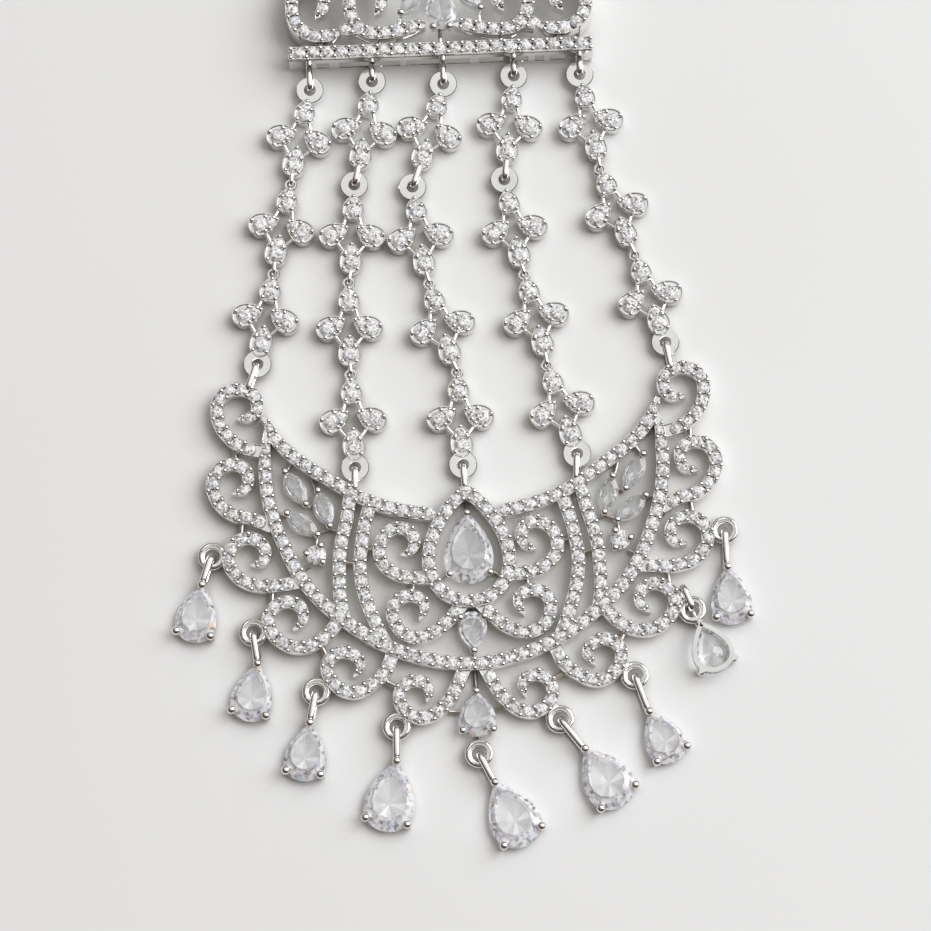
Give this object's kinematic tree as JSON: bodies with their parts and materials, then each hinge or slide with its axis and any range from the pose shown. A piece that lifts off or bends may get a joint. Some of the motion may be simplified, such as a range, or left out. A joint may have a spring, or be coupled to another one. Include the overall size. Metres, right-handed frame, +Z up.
{
  "type": "jhoomar",
  "caption": "Hanging side ornament for the hair: a pierced head plaque, strands of four-petal links, an openwork crescent and pear drops set with clear stones, lying flat.",
  "frame": {"origin": "on the surface that the ornament lies on, under the middle of its outline", "axes": "+Z up off that surface, out of the stones' faces; +Y from the crescent towards the head plaque; +X to the right as seen from above"},
  "size_m": [0.0714, 0.1234, 0.0047],
  "materials": {
    "rhodium_white": "bright rhodium-white plating, polished",
    "clear_stone": "clear cut stone, faceted and polished"
  },
  "bodies": {
    "root": {"upper_plaque": "rhodium_white", "plaque_pear": "clear_stone", "plaque_left_marquise": "clear_stone", "plaque_right_marquise": "clear_stone", "strand_1_link_1": "rhodium_white", "strand_1_link_2": "rhodium_white", "strand_1_link_3": "rhodium_white", "strand_2_link_1": "rhodium_white", "strand_2_link_2": "rhodium_white", "strand_2_link_3": "rhodium_white", "strand_2_link_4": "rhodium_white", "strand_3_link_1": "rhodium_white", "strand_3_link_2": "rhodium_white", "strand_3_link_3": "rhodium_white", "strand_3_link_4": "rhodium_white", "strand_4_link_1": "rhodium_white", "strand_4_link_2": "rhodium_white", "strand_4_link_3": "rhodium_white", "strand_4_link_4": "rhodium_white", "strand_5_link_1": "rhodium_white", "strand_5_link_2": "rhodium_white", "strand_5_link_3": "rhodium_white", "crescent_frame": "rhodium_white", "centre_pear": "clear_stone", "upper_small_pear": "clear_stone", "lower_small_pear": "clear_stone", "left_marquise_1": "clear_stone", "left_marquise_2": "clear_stone", "left_marquise_3": "clear_stone", "left_round": "clear_stone", "right_marquise_1": "clear_stone", "right_marquise_2": "clear_stone", "right_marquise_3": "clear_stone", "right_round": "clear_stone", "drop_1_setting": "rhodium_white", "drop_1_stone": "clear_stone", "drop_2_setting": "rhodium_white", "drop_2_stone": "clear_stone", "drop_3_setting": "rhodium_white", "drop_3_stone": "clear_stone", "drop_4_setting": "rhodium_white", "drop_4_stone": "clear_stone", "drop_5_setting": "rhodium_white", "drop_5_stone": "clear_stone", "drop_6_setting": "rhodium_white", "drop_6_stone": "clear_stone", "drop_7_setting": "rhodium_white", "drop_7_stone": "clear_stone", "drop_8_setting": "rhodium_white", "drop_8_stone": "clear_stone", "drop_9_setting": "rhodium_white", "drop_9_stone": "clear_stone"}
  },
  "joints": []
}
